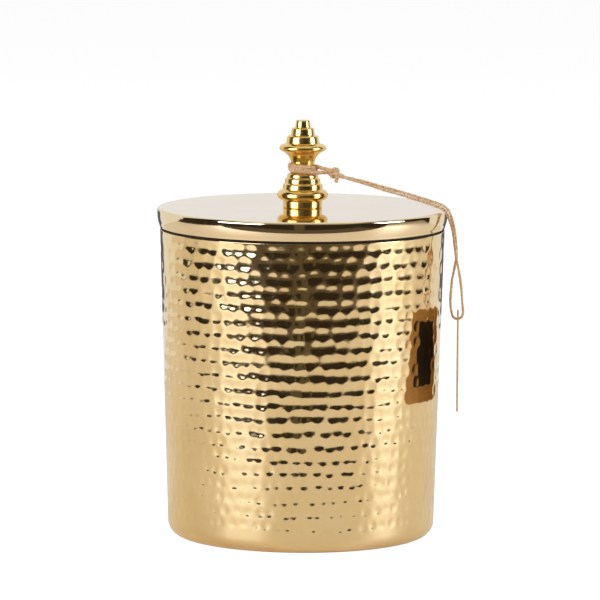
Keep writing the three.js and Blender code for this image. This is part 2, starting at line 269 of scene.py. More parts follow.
def smooth_route(knots, spacing):
    """Evenly spaced points on a smooth line through the given ones."""
    bezier_steps = 24
    last = len(knots) - 1
    headings = [
        (knots[min(i + 1, last)] - knots[max(i - 1, 0)]).normalized() for i in range(last + 1)
    ]
    fine = []
    for a, b, from_a, to_b in zip(knots, knots[1:], headings, headings[1:]):
        reach = (b - a).length / 3
        fine += interpolate_bezier(a, a + from_a * reach, b - to_b * reach, b, bezier_steps)[:-1]
    fine.append(knots[-1])
    travelled = np.cumsum([0] + [(b - a).length for a, b in zip(fine, fine[1:])])
    count = max(2, round(travelled[-1] / spacing) + 1)
    wanted = np.linspace(0, travelled[-1], count)
    axes = [np.interp(wanted, travelled, [p[k] for p in fine]) for k in range(3)]
    return [Vector(p) for p in zip(*axes)]


def cross_axes(route):
    """Two directions across the route at each of its points, which don't twist along it."""
    last = len(route) - 1
    tangents = [
        (route[min(i + 1, last)] - route[max(i - 1, 0)]).normalized() for i in range(last + 1)
    ]
    across = tangents[0].orthogonal().normalized()
    axes = []
    for before, tangent in zip([tangents[0]] + tangents, tangents):
        across = before.rotation_difference(tangent) @ across
        across = (across - tangent * across.dot(tangent)).normalized()
        axes.append((across, tangent.cross(across)))
    return axes


def strand_mesh(name, strands, thickness, roundness=2):
    """One mesh from a list of lines, each a list of (place, share of the thickness)."""
    curve = bpy.data.curves.new(name, "CURVE")
    curve.dimensions = "3D"
    curve.bevel_depth = thickness / 2
    curve.bevel_resolution = roundness
    curve.use_fill_caps = True
    for strand in strands:
        spline = curve.splines.new("POLY")
        spline.points.add(len(strand) - 1)
        for point, (place, share) in zip(spline.points, strand):
            point.co = (*place, 1)
            point.radius = share
    wire = bpy.data.objects.new(name, curve)
    scene.collection.objects.link(wire)
    bpy.context.view_layer.update()
    finished = wire.evaluated_get(bpy.context.evaluated_depsgraph_get())
    mesh = bpy.data.meshes.new_from_object(finished)
    bpy.data.objects.remove(wire)
    mesh.name = name
    piece = bpy.data.objects.new(name, mesh)
    scene.collection.objects.link(piece)
    for polygon in mesh.polygons:
        polygon.use_smooth = True
    return piece


def laid_twine(name, routes, loose_fibres, seed, thickness, rubbed_at=()):
    """Twine along each route: three plies that wind round it, with a few fibres standing off.
    No fibre stands off where the twine is rubbed smooth."""
    chance = random.Random(seed)
    lay_length = 3 * MM
    ply_offset = 0.24
    ply_thickness = 0.58
    fibre_thickness = 0.1
    rubbed_reach = 4.5 * MM
    strands = []
    for route in routes:
        axes = cross_axes(route)
        travelled = np.cumsum([0] + [(b - a).length for a, b in zip(route, route[1:])])
        swell = [1 + 0.09 * math.sin(s / (2.3 * MM) + chance.uniform(0, 0.4)) for s in travelled]
        for ply in range(3):
            strand = []
            for place, (u, v), s, fat in zip(route, axes, travelled, swell):
                turn = 2 * math.pi * (s / lay_length + ply / 3)
                offset = (u * math.cos(turn) + v * math.sin(turn)) * thickness * ply_offset * fat
                strand.append((place + offset, fat))
            strands.append(strand)
        for _ in range(round(loose_fibres * travelled[-1] / MM)):
            start = chance.randrange(len(route) - 1)
            u, v = axes[start]
            turn = chance.uniform(0, 2 * math.pi)
            outward = u * math.cos(turn) + v * math.sin(turn)
            along = (route[start + 1] - route[start]).normalized() * chance.choice((-1, 1))
            reach = chance.uniform(0.25, 1.1) * MM
            bend = chance.uniform(0.6, 2.2) * MM
            root = route[start] + outward * thickness * 0.4
            if any((root - place).length < rubbed_reach for place in rubbed_at):
                continue
            fibre = []
            for share in (0, 0.35, 0.7, 1):
                place = root + outward * reach * share + along * bend * share * (1 + share) / 2
                fibre.append((place, fibre_thickness * (1 - 0.5 * share)))
            strands.append(fibre)
    return strand_mesh(name, strands, thickness * ply_thickness)


def new_material(name, colour, roughness, metallic=0.0):
    """A material with its main values set; returns it with its node tree and shader."""
    made = bpy.data.materials.new(name)
    made.use_nodes = True
    shader = made.node_tree.nodes["Principled BSDF"]
    shader.inputs["Base Color"].default_value = (*colour, 1)
    shader.inputs["Roughness"].default_value = roughness
    shader.inputs["Metallic"].default_value = metallic
    return made, made.node_tree, shader


def noise(tree, scale, detail=3.0, stretch=(1, 1, 1), distortion=0.0):
    """A noise pattern on the piece's own coordinates; returns its value socket."""
    coords = tree.nodes.new("ShaderNodeTexCoord")
    mapping = tree.nodes.new("ShaderNodeMapping")
    mapping.inputs["Scale"].default_value = stretch
    pattern = tree.nodes.new("ShaderNodeTexNoise")
    pattern.inputs["Scale"].default_value = scale
    pattern.inputs["Detail"].default_value = detail
    pattern.inputs["Distortion"].default_value = distortion
    tree.links.new(coords.outputs["Object"], mapping.inputs["Vector"])
    tree.links.new(mapping.outputs["Vector"], pattern.inputs["Vector"])
    return pattern.outputs["Fac"]


def blend_colours(tree, value, stops):
    """Turns a value into a colour through the given (position, colour) stops."""
    ramp = tree.nodes.new("ShaderNodeValToRGB")
    tree.links.new(value, ramp.inputs["Fac"])
    stop_list = ramp.color_ramp.elements
    while len(stop_list) < len(stops):
        stop_list.new(0.5)
    for stop, (position, colour) in zip(stop_list, stops):
        stop.position = position
        stop.color = (*colour, 1)
    return ramp.outputs["Color"]


def spread_value(tree, value, low, high):
    """Maps the middle of a noise value onto a range."""
    spread = tree.nodes.new("ShaderNodeMapRange")
    spread.inputs["From Min"].default_value = 0.3
    spread.inputs["From Max"].default_value = 0.7
    spread.inputs["To Min"].default_value = low
    spread.inputs["To Max"].default_value = high
    tree.links.new(value, spread.inputs["Value"])
    return spread.outputs["Result"]


def add_relief(tree, shader, height, depth, strength=1.0):
    """Fine relief of the given depth in metres, over any relief that is there already."""
    bump = tree.nodes.new("ShaderNodeBump")
    bump.inputs["Strength"].default_value = strength
    bump.inputs["Distance"].default_value = depth
    tree.links.new(height, bump.inputs["Height"])
    if shader.inputs["Normal"].is_linked:
        tree.links.new(shader.inputs["Normal"].links[0].from_socket, bump.inputs["Normal"])
    tree.links.new(bump.outputs["Normal"], shader.inputs["Normal"])


def jute_material():
    made, tree, shader = new_material("jute", (0.74, 0.56, 0.4), 0.88)
    colour = blend_colours(
        tree,
        noise(tree, 1400, 4),
        [(0.28, (0.38, 0.2, 0.07)), (0.5, (0.86, 0.53, 0.22)), (0.74, (1.0, 0.77, 0.4))],
    )
    tree.links.new(colour, shader.inputs["Base Color"])
    shader.inputs["Sheen Weight"].default_value = 0.25
    shader.inputs["Sheen Roughness"].default_value = 0.5
    add_relief(tree, shader, noise(tree, 5200, 4), 0.06 * MM, 0.8)
    return made


jute = jute_material()
twine_step = 0.36 * MM
twine_route = smooth_route(placed(lower_strand + hanging_loop + upper_strand), twine_step)
tag_hang_point = placed([(64.0, -17.0, -43.99)])
twine = laid_twine(
    "twine",
    [twine_route],
    loose_fibres=1.6,
    seed=11,
    thickness=twine_thickness,
    rubbed_at=tag_hang_point,
)
twine.data.materials.append(jute)
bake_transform(twine)
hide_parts("twine_lower_strand", "twine_upper_strand", "twine_loop")

# The same twine goes twice and a half round the knob's waist, and its doubled strands are tied
# in an overhand knot beside the knob, with a short cut end.
waist_radius = 5.4
waist_turns = 2.6
turn_steps = 120
neck_turns = []
for step in range(turn_steps + 1):
    share = step / turn_steps
    angle = math.radians(-28) - share * waist_turns * 2 * math.pi
    height = 17.4 - 2.5 * share - 0.75 * math.cos(angle)
    neck_turns.append((waist_radius * math.cos(angle), waist_radius * math.sin(angle), height))
lead_front = [(1.6, -5.4, 15.2), (4.4, -5.6, 14.9), (7.4, -4.9, 15.0), (10.6, -4.1, 14.9)]
lead_back = [(4.9, 2.3, 16.9), (6.1, -0.4, 16.9), (8.0, -2.4, 16.6), (10.8, -3.3, 16.0)]
cut_end = [(13.4, -4.6, 14.6), (14.3, -5.2, 13.4), (14.0, -5.3, 12.2), (13.7, -5.3, 11.2)]
stub_front = [(12.6, -4.3, 14.9), (14.8, -4.9, 13.8), (16.9, -5.15, 13.1)]
stub_back = [(12.6, -3.0, 15.1), (14.8, -3.4, 14.0), (16.9, -3.8, 13.25)]
knot_centre = Vector((12.6, -3.5, 14.86))


def trefoil(size, turn):
    """One strand's way through the knot, a closed line that crosses itself three times."""
    line = []
    line_steps = 96
    for step in range(line_steps + 1):
        t = 2 * math.pi * step / line_steps
        across = 0.72 * (math.sin(t) + 2 * math.sin(2 * t))
        upward = 0.6 * (math.cos(t) - 2 * math.cos(2 * t))
        line.append(
            (
                knot_centre.x + size * (across * math.cos(turn) - upward * math.sin(turn)),
                knot_centre.y - size * 1.15 * math.sin(3 * t),
                knot_centre.z + size * (across * math.sin(turn) + upward * math.cos(turn)),
            )
        )
    return line


knot_lines = [trefoil(1.0, 0.15), trefoil(0.74, 0.75), cut_end, stub_front, stub_back]
knot_routes = [smooth_route(placed(line), twine_step) for line in knot_lines]
wrap_routes = [
    smooth_route(placed(line), twine_step) for line in (neck_turns, lead_front, lead_back)
]
neck_twine = laid_twine(
    "twine_on_knob", wrap_routes, loose_fibres=0.6, seed=12, thickness=1.42 * twine_thickness
)
knot_twine = laid_twine(
    "twine_tied_knot", knot_routes, loose_fibres=1.2, seed=13, thickness=1.4 * twine_thickness
)
for piece, node in ((neck_twine, "twine_neck_turns"), (knot_twine, "twine_knot")):
    piece.data.materials.append(jute)
    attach(piece, "lid")
    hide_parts(node)


# ---- vessel -----------------------------------------------------------------------------------
# One drawn brass sheet, hammered from outside in rows of shallow round dents, with a plain band
# at the rounded bottom corner. Its turned-in rim has a small step outside, and it stands on a ring.
tin_low, tin_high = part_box("tin_body")
rim_top = tin_high.z
rim_radius = tin_high.x
base_radius = 55.3 * MM
corner_radius = 6 * MM
sheet_thickness = 0.9 * MM
rim_thickness = 1.8 * MM
rim_depth = 3.5 * MM
rim_step = rim_top - 0.55 * MM
rim_step_depth = 0.6 * MM
base_recess = 1.0 * MM
standing_ring = 2.5 * MM
wall_steps = 448
wall_rows = 156
dent_band = (8.5 * MM, rim_top - 0.6 * MM)
dent_row_height = 5.75 * MM
dent_spacing = (5.0 * MM, 6.4 * MM)
dent_reach = 2.92 * MM
dent_depth = 0.245 * MM
dent_softness = 0.012 * MM
dent_lip = -0.2 * MM
dent_scatter = 0.28 * MM
row_wander = 0.5 * MM
plain_edge = rim_top - 1.0 * MM
plain_fade = 2.5 * MM


def arc(centre_radius, centre_height, radius, start, end, steps):
    """Points on an arc of an outline, its angles in degrees from the outward direction."""
    angles = [math.radians(start + (end - start) * i / steps) for i in range(steps + 1)]
    return [
        (centre_radius + radius * math.cos(a), centre_height + radius * math.sin(a)) for a in angles
    ]


def supported(outline, closed=False):
    """The outline with extra points near the ends of its long straight stretches."""
    edge = 0.25 * MM
    pairs = list(zip(outline, outline[1:])) + ([(outline[-1], outline[0])] if closed else [])
    points = [] if closed else [outline[0]]
    for (r1, z1), (r2, z2) in pairs:
        length = math.hypot(r2 - r1, z2 - z1)
        if length > 4 * edge:
            for share in (edge / length, 1 - edge / length):
                points.append((r1 + (r2 - r1) * share, z1 + (z2 - z1) * share))
        points.append((r2, z2))
    return points


def spun(name, outline, steps, closed=False, centre=(0, 0)):
    """A mesh turned round an upright axis from (radius, height) points."""
    shape = bmesh.new()
    points = supported(outline, closed)
    ring = [shape.verts.new((radius, 0, height)) for radius, height in points]
    edges = [shape.edges.new(pair) for pair in zip(ring, ring[1:])]
    if closed:
        edges.append(shape.edges.new((ring[-1], ring[0])))
    bmesh.ops.spin(
        shape,
        geom=ring + edges,
        cent=(0, 0, 0),
        axis=(0, 0, 1),
        angle=2 * math.pi,
        steps=steps,
        use_merge=True,
    )
    bmesh.ops.remove_doubles(shape, verts=shape.verts, dist=0.001 * MM)
    bmesh.ops.recalc_face_normals(shape, faces=shape.faces)
    bmesh.ops.translate(shape, verts=shape.verts, vec=(*centre, 0))
    return piece_from(name, shape, smooth=True)


def stands_for(piece, node, body, material):
    """Gives a piece its finish and its body, in place of its CAD node."""
    piece.data.materials.append(material)
    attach(piece, body)
    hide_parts(node)


def wall_radius(z):
    """The wall's outer radius before it is hammered."""
    share = (z - corner_radius) / (rim_top - corner_radius)
    return base_radius + (rim_radius - base_radius) * share


def hammer(mesh):
    """Presses rows of round dents, a little uneven in place, size and depth, into the outer wall."""
    chance = np.random.default_rng(7)
    low, high = dent_band
    rows = round((high - low) / dent_row_height)
    pitch = (high - low) / rows
    count = len(mesh.vertices)
    flat = np.empty(count * 3)
    mesh.vertices.foreach_get("co", flat)
    co = flat.reshape(-1, 3)
    radius = np.hypot(co[:, 0], co[:, 1])
    outer = (radius > wall_radius(co[:, 2]) - 0.1 * MM) & (co[:, 2] > corner_radius)
    outer &= co[:, 2] < plain_edge
    pressed = np.zeros(count)
    for row in range(rows):
        middle = low + (row + 0.5) * pitch
        spacing = np.interp((row + 0.5) / rows, (0.45, 0.95), dent_spacing)
        number = round(2 * math.pi * wall_radius(middle) / spacing)
        places = np.arange(number) + chance.uniform(0, 1) + chance.uniform(-0.25, 0.25, number)
        angle = places * 2 * math.pi / number
        wander = row_wander * np.sin(3 * angle + chance.uniform(0, 2 * math.pi))
        height = middle + wander + chance.normal(0, 1, number) * dent_scatter
        lighter_below, smaller_below = (
            np.interp((row + 0.5) / rows, (0.1, 0.5), ends) for ends in ((0.95, 1), (0.7, 1))
        )
        depth = dent_depth * lighter_below * chance.uniform(0.8, 1.12, number)
        reach = dent_reach * smaller_below * chance.uniform(0.9, 1.08, number)
        near = np.flatnonzero(outer & (abs(co[:, 2] - middle) < 1.6 * dent_reach))
        around = np.arctan2(co[near, 1], co[near, 0]) % (2 * math.pi)
        column = np.floor(around / (2 * math.pi) * number).astype(int)
        for step in (-2, -1, 0, 1):
            at = (column + step) % number
            sideways = (around - angle[at] + math.pi) % (2 * math.pi) - math.pi
            distance = np.hypot(sideways * radius[near], co[near, 2] - height[at])
            cap = depth[at] * (1 - (distance / reach[at]) ** 2)
            pressed[near] += np.exp(np.maximum(cap, dent_lip) / dent_softness)
    held = np.clip((plain_edge - co[outer, 2]) / plain_fade, 0, 1)
    shrink = 1 - dent_softness * np.log(1 + pressed[outer]) * held / radius[outer]
    co[outer, :2] *= shrink[:, None]
    mesh.vertices.foreach_set("co", co.ravel())
    mesh.update()


ring_outer = base_radius - corner_radius
ring_inner = ring_outer - standing_ring
rim_round = 0.15 * MM
mouth_round = 0.4 * MM
mouth_radius = rim_radius - rim_thickness
hem_bottom = rim_top - rim_depth
hem_foot = hem_bottom - (rim_thickness - sheet_thickness)
wall_heights = np.linspace(corner_radius, rim_step - rim_round, wall_rows + 1)[1:-1]
vessel_outline = [
    (0, base_recess),
    (ring_inner - base_recess, base_recess),
    (ring_inner, 0),
    *arc(ring_outer, corner_radius, corner_radius, -90, 0, 10),
    *[(wall_radius(z), z) for z in wall_heights],
    (rim_radius, rim_step - rim_round - 0.08 * MM),
    *arc(rim_radius - rim_round, rim_step - rim_round, rim_round, 0, 90, 3),
    (rim_radius - rim_step_depth, rim_step),
    *arc(rim_radius - rim_step_depth - rim_round, rim_top - rim_round, rim_round, 0, 90, 3),
    *arc(mouth_radius + mouth_round, rim_top - mouth_round, mouth_round, 90, 180, 4),
    (mouth_radius, hem_bottom),
    (wall_radius(hem_foot) - sheet_thickness, hem_foot),
    *arc(ring_outer, corner_radius, corner_radius - sheet_thickness, 0, -90, 4),
    (ring_inner, sheet_thickness),
    (ring_inner - base_recess, base_recess + sheet_thickness),
    (0, base_recess + sheet_thickness),
]


def brass_material(name, colour, worn, roughness, wander):
    """Polished brass: its colour and polish wander a little, and fine scratches run over it."""
    made, tree, shader = new_material(name, colour, roughness, metallic=1.0)
    tone = blend_colours(tree, noise(tree, 55, 4), [(0.3, worn), (0.7, colour)])
    tree.links.new(tone, shader.inputs["Base Color"])
    polish = spread_value(tree, noise(tree, 160, 5, distortion=0.6), roughness, roughness + wander)
    tree.links.new(polish, shader.inputs["Roughness"])
    add_relief(tree, shader, noise(tree, 900, 3, stretch=(1, 1, 0.25)), 0.01 * MM, 0.12)
    return made


def hammered_material():
    """Brass with the small uneven marks of the hammer's face inside each dent."""
    made = brass_material(
        "hammered_brass", (0.88, 0.67, 0.34), (0.83, 0.6, 0.27), 0.07, 0.05
    )
    shader = made.node_tree.nodes["Principled BSDF"]
    add_relief(made.node_tree, shader, noise(made.node_tree, 300, 3), 0.042 * MM, 1.0)
    return made


hammered_brass = hammered_material()
vessel = spun("vessel", vessel_outline, wall_steps)
hammer(vessel.data)
stands_for(vessel, "tin_body", "tin", hammered_brass)

# A blank paper disc is stuck in the base recess.
label_low, label_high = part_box("base_label")


def mottled_material(name, tones, roughness, patches, grain, metallic=0.0):
    """A colour that wanders between two tones, under a fine grain in relief. The patches are a
    noise's scale and detail, and the grain is its scale, detail, depth and strength."""
    made, tree, shader = new_material(name, tones[1], roughness, metallic)
    tone = blend_colours(tree, noise(tree, *patches), [(0.3, tones[0]), (0.7, tones[1])])
    tree.links.new(tone, shader.inputs["Base Color"])
    scale, detail, depth, strength = grain
    add_relief(tree, shader, noise(tree, scale, detail), depth, strength)
    return made, tree, shader


label_outline = [
    (0, label_low.z),
    (label_high.x, label_low.z),
    (label_high.x, label_high.z),
    (0, label_high.z),
]
label = spun("base_paper", label_outline, 128)
paper, _, _ = mottled_material(
    "label_paper",
    ((0.8, 0.78, 0.72), (0.9, 0.885, 0.84)),
    roughness=0.85,
    patches=(700, 5),
    grain=(2500, 4, 0.03 * MM, 0.5),
)
stands_for(label, "base_label", "tin", paper)


# ---- candle -----------------------------------------------------------------------------------
# Cream soy wax poured round braided cotton wicks; each wick is crimped in a zinc-plated tab
# that is stuck to the floor with a dot of glue.
wax_low, wax_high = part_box("wax_fill")
wax_radius = wall_radius(wax_high.z) - sheet_thickness - 0.12 * MM
wick_names = [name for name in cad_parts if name.startswith("wick_") and name[5:].isdigit()]


def centre_of(node):
    low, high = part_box(node)
    return (low + high) / 2


wick_places = [centre_of(name) for name in sorted(wick_names)]


def wax_material():
    made, tree, shader = mottled_material(
        "soy_wax",
        ((0.9, 0.79, 0.56), (0.94, 0.85, 0.64)),
        roughness=0.42,
        patches=(60, 4),
        grain=(500, 4, 0.05 * MM, 0.4),
    )
    shader.inputs["Subsurface Weight"].default_value = 0.35
    shader.inputs["Subsurface Radius"].default_value = (0.006, 0.004, 0.002)
    shader.inputs["Subsurface Scale"].default_value = 1.0
    polish = spread_value(tree, noise(tree, 200, 3), 0.32, 0.52)
    tree.links.new(polish, shader.inputs["Roughness"])
    return made


wax_corner = corner_radius - sheet_thickness - 0.15 * MM
wax_foot = math.degrees(math.asin((corner_radius - wax_low.z) / wax_corner))
creep = 0.7 * MM
wick_hill = 4 * MM
wick_moat = 9 * MM
wax_outline = [
    (0, wax_low.z),
    *arc(ring_outer, corner_radius, wax_corner, -wax_foot, 0, 6),
    (wax_radius, wax_high.z),
    (wax_radius - 0.3 * MM, wax_high.z),
    *[
        (wax_radius - creep - 3 * MM * share, wax_high.z - creep * (1 - (1 - share) ** 2))
        for share in (0, 0.2, 0.45, 0.75, 1)
    ],
    *[(r * MM, wax_high.z - creep) for r in range(50, 0, -2)],
    (0, wax_high.z - creep),
]
wax = spun("poured_wax", wax_outline, 144)
# the wax stands up a little against each wick, inside a shallow ring
for vertex in wax.data.vertices:
    if vertex.co.z > wax_high.z - 1.1 * creep:
        nearest = min((vertex.co.xy - place.xy).length for place in wick_places)
        vertex.co.z += 0.6 * creep * math.exp(-((nearest / wick_hill) ** 2))
        vertex.co.z -= 0.25 * creep * math.exp(-(((nearest - wick_moat) / wick_hill) ** 2))
wax.data.update()
stands_for(wax, "wax_fill", "tin", wax_material())


def braided_wick(name, node):
    """Three fat strands plaited round an upright line."""
    low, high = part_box(node)
    centre = (low + high) / 2
    half = (high.x - low.x) / 2
    rise = 0.35 * MM
    plait_length = 4.2 * MM
    steps = int((high.z - low.z - 0.3 * MM) / rise)
    strands = []
    for ply in range(3):
        strand = []
        for step in range(steps + 1):
            z = low.z + step * rise
            phase = 2 * math.pi * ((z - low.z) / plait_length + ply / 3)
            x = centre.x + half * 0.5 * math.sin(phase)
            y = centre.y + half * 0.42 * math.sin(2 * phase)
            strand.append((Vector((x, y, z)), 1.0))
        strands.append(strand)
    return strand_mesh(name, strands, half)


cotton, _, cotton_shader = mottled_material(
    "waxed_cotton",
    ((0.84, 0.8, 0.71), (0.96, 0.94, 0.89)),
    roughness=0.7,
    patches=(900, 4),
    grain=(4000, 3, 0.05 * MM, 0.6),
)
cotton_shader.inputs["Sheen Weight"].default_value = 0.2
glue, _, _ = mottled_material(
    "wick_glue",
    ((0.76, 0.71, 0.6), (0.86, 0.83, 0.75)),
    roughness=0.35,
    patches=(300, 3),
    grain=(900, 3, 0.05 * MM, 0.5),
)
zinc, zinc_tree, zinc_shader = mottled_material(
    "zinc_steel",
    ((0.52, 0.53, 0.54), (0.68, 0.69, 0.7)),
    roughness=0.3,
    patches=(500, 3),
    grain=(1800, 3, 0.02 * MM, 0.3),
    metallic=1.0,
)
zinc_polish = spread_value(zinc_tree, noise(zinc_tree, 800, 4, stretch=(1, 1, 6)), 0.22, 0.42)
zinc_tree.links.new(zinc_polish, zinc_shader.inputs["Roughness"])

tab_bore = 1.45 * MM
tab_neck = 2.1 * MM
for number, place in enumerate(wick_places, start=1):
    wick = braided_wick(f"plaited_wick_{number}", f"wick_{number}")
    stands_for(wick, f"wick_{number}", "tin", cotton)
    tab_low, tab_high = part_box(f"wick_tab_{number}")
    tab_radius = (tab_high.x - tab_low.x) / 2
    plate = tab_low.z + 0.5 * MM
    tab = spun(
        f"crimped_tab_{number}",
        [
            (tab_bore, tab_low.z),
            (tab_radius - 0.2 * MM, tab_low.z),
            (tab_radius, tab_low.z + 0.2 * MM),
            (tab_radius, plate - 0.1 * MM),
            (tab_radius - 0.1 * MM, plate),
            (tab_neck + 0.5 * MM, plate),
            (tab_neck + 0.1 * MM, plate + 0.4 * MM),
            (tab_neck, tab_high.z - 0.2 * MM),
            (tab_neck - 0.2 * MM, tab_high.z),
            (tab_bore, tab_high.z),
        ],
        64,
        closed=True,
        centre=place.xy,
    )
    stands_for(tab, f"wick_tab_{number}", "tin", zinc)
    dot_low, dot_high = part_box(f"wick_glue_dot_{number}")
    dot_radius = (dot_high.x - dot_low.x) / 2
    dot_round = (dot_high.z - dot_low.z) / 2
    dot = spun(
        f"glue_dot_{number}",
        [
            (0, dot_low.z),
            *arc(dot_radius - dot_round, dot_low.z + dot_round, dot_round, -90, 90, 6),
            (0, dot_high.z),
        ],
        48,
        centre=place.xy,
    )
    stands_for(dot, f"wick_glue_dot_{number}", "tin", glue)


# ---- lid --------------------------------------------------------------------------------------
# A spun cap of mirror-polished brass. Its skirt draws in a little towards its lower edge, and
# faint rings from the spinning show on the top. A collar soldered inside centres it.
lid_radius = lid_high.x
lid_edge_radius = 59.1 * MM
lid_shoulder = 1.1 * MM
lid_sheet = 1.0 * MM
lid_bottom = lid_low.z
lid_underside = lid_top - lid_sheet
screw_hole = 2.3 * MM
lid_draw = lid_radius - lid_edge_radius
inner_fillet = 0.6 * MM
edge_middle = lid_bottom + 0.3 * MM
edge_round = 0.5 * lid_sheet
skirt_curve = 3.2
skirt_foot = lid_bottom + 0.5 * MM
skirt_height = lid_top - lid_shoulder - skirt_foot
inner_reach = lid_radius - lid_sheet - inner_fillet
lid_outline = [
    (screw_hole, lid_underside),
    *arc(inner_reach, lid_underside - inner_fillet, inner_fillet, 90, 0, 6),
    (lid_edge_radius - lid_sheet, edge_middle),
    *arc(lid_edge_radius - edge_round, edge_middle, edge_round, 180, 345, 8)[1:],
    *[
        (lid_radius - lid_draw * (1 - share) ** skirt_curve, skirt_foot + skirt_height * share)
        for share in np.linspace(0, 1, 17)
    ],
    *arc(lid_radius - lid_shoulder, lid_top - lid_shoulder, lid_shoulder, 0, 90, 12)[1:],
    (screw_hole, lid_top),
]


def polished_material():
    made = brass_material("polished_brass", (0.89, 0.70, 0.42), (0.85, 0.65, 0.36), 0.04, 0.03)
    tree = made.node_tree
    shader = tree.nodes["Principled BSDF"]
    coords = tree.nodes.new("ShaderNodeTexCoord")
    rings = tree.nodes.new("ShaderNodeTexWave")
    rings.wave_type = "RINGS"
    rings.rings_direction = "Z"
    rings.inputs["Scale"].default_value = 450
    rings.inputs["Distortion"].default_value = 1.5
    rings.inputs["Detail"].default_value = 3
    rings.inputs["Detail Scale"].default_value = 0.4
    tree.links.new(coords.outputs["Object"], rings.inputs["Vector"])
    add_relief(tree, shader, rings.outputs["Fac"], 0.004 * MM, 0.05)
    return made


polished_brass = polished_material()
lid = spun("spun_lid", lid_outline, 256, closed=True)
stands_for(lid, "lid", "lid", polished_brass)

collar_low, collar_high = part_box("lid_collar")
collar_outer = collar_high.x
collar_inner = collar_outer - 0.8 * MM
collar_round = 0.4 * MM
collar = spun(
    "inner_collar",
    [
        *arc(collar_outer - collar_round, collar_low.z + collar_round, collar_round, 180, 360, 8),
        (collar_outer, collar_high.z),
        (collar_inner, collar_high.z),
    ],
    256,
    closed=True,
)
stands_for(collar, "lid_collar", "lid", polished_brass)

# A dark silicone ring lies between the rim and the skirt; its lip hangs into the rim's step. Its
# near-black, warm-tinted colour is partly the ring's own and partly painted shade, standing in for
# the shadow in the gap under the lid's edge.
gasket_low, gasket_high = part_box("lid_gasket")
gasket_round = 0.15 * MM
gasket_inner = collar_outer + 0.15 * MM
gasket_outer = rim_radius - 0.15 * MM
lip_inner = rim_radius - rim_step_depth + 0.05 * MM
lip_foot = rim_step + 0.08 * MM
# the ring's dark brown tones are its own colour and painted shade of the gap under the lid, both
silicone_gap_shade, _, silicone_gap_shade_shader = mottled_material(
    "dark_silicone_gap_shade",
    ((0.018, 0.011, 0.005), (0.034, 0.021, 0.01)),
    roughness=0.85,
    patches=(600, 3),
    grain=(3000, 3, 0.02 * MM, 0.5),
)
silicone_gap_shade_shader.inputs["Specular IOR Level"].default_value = 0.15
gasket = spun(
    "sealing_ring",
    [
        (gasket_inner, gasket_low.z),
        (lip_inner, gasket_low.z),
        (lip_inner, lip_foot),
        *arc(gasket_outer - gasket_round, lip_foot + gasket_round, gasket_round, -90, 0, 3),
        *arc(gasket_outer - gasket_round, gasket_high.z - gasket_round, gasket_round, 0, 90, 3),
        *arc(gasket_inner + gasket_round, gasket_high.z - gasket_round, gasket_round, 90, 180, 3),
    ],
    256,
    closed=True,
)
stands_for(gasket, "lid_gasket", "seal", silicone_gap_shade)


# ---- knob -------------------------------------------------------------------------------------
# Turned from yellow brass bar: a foot and a fat bead, rings that step in to the waist, a flare up
# to a saucer, and tiers that step in to the button. A screw through the lid holds it.
knob_low, knob_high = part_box("knob")


def tier(radius, foot, top, lean, soft):
    """A short turned step with softened corners, a little narrower at its top."""
    return [
        (radius - 0.2 * soft, foot + 0.1),
        (radius, foot + soft),
        (radius - lean, top - soft),
        (radius - lean - 0.35 * soft, top - 0.3 * soft),
        (radius - lean - soft, top),
    ]


def knob_outline():
    """The knob's outline in metres, from heights above its foot in millimetres."""
    flare = interpolate_bezier(
        Vector((4.72, 17.5)), Vector((4.8, 20.2)), Vector((6.1, 22.3)), Vector((8.9, 23.58)), 16
    )
    points = [
        (0, 8.5),
        (2.15, 8.5),
        (2.15, 0),
        (7.9, 0),
        (8.1, 0.2),
        (8.1, 2.6),
        (8.0, 3.1),
        *arc(8.4, 5.3, 2.1, -78, 80, 18),
        *tier(8.25, 7.5, 10.0, 0.15, 0.5),
        *tier(7.3, 10.0, 12.4, 0.15, 0.5),
        *tier(6.45, 12.4, 14.3, 0.3, 0.5),
        (5.0, 14.5),
        (4.75, 14.9),
        (4.7, 16.0),
        *[tuple(point) for point in flare],
        *arc(8.35, 24.75, 1.3, -58, 66, 12),
        (8.1, 26.22),
        (7.3, 26.5),
        *tier(6.9, 26.6, 29.75, 0.45, 0.4),
        *tier(4.95, 29.85, 32.95, 0.35, 0.35),
        *tier(3.2, 33.05, 36.15, 0.35, 0.3),
        (1.6, 36.25),
        (0, 36.3),
    ]
    return [(radius * MM, height * MM + knob_low.z) for radius, height in points]


turned_brass = brass_material("turned_brass", (0.9, 0.625, 0.2), (0.86, 0.55, 0.13), 0.18, 0.08)
knob = spun("turned_knob", knob_outline(), 128)
stands_for(knob, "knob", "lid", turned_brass)

washer_low, washer_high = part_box("knob_washer")
washer_round = 0.2 * MM
washer_edge = washer_high.x - washer_round
washer = spun(
    "flat_washer",
    [
        (screw_hole, washer_low.z),
        *arc(washer_edge, washer_low.z + washer_round, washer_round, -90, 0, 4),
        *arc(washer_edge, washer_high.z - washer_round, washer_round, 0, 90, 4),
        (screw_hole, washer_high.z),
    ],
    96,
    closed=True,
)
stands_for(washer, "knob_washer", "lid", zinc)

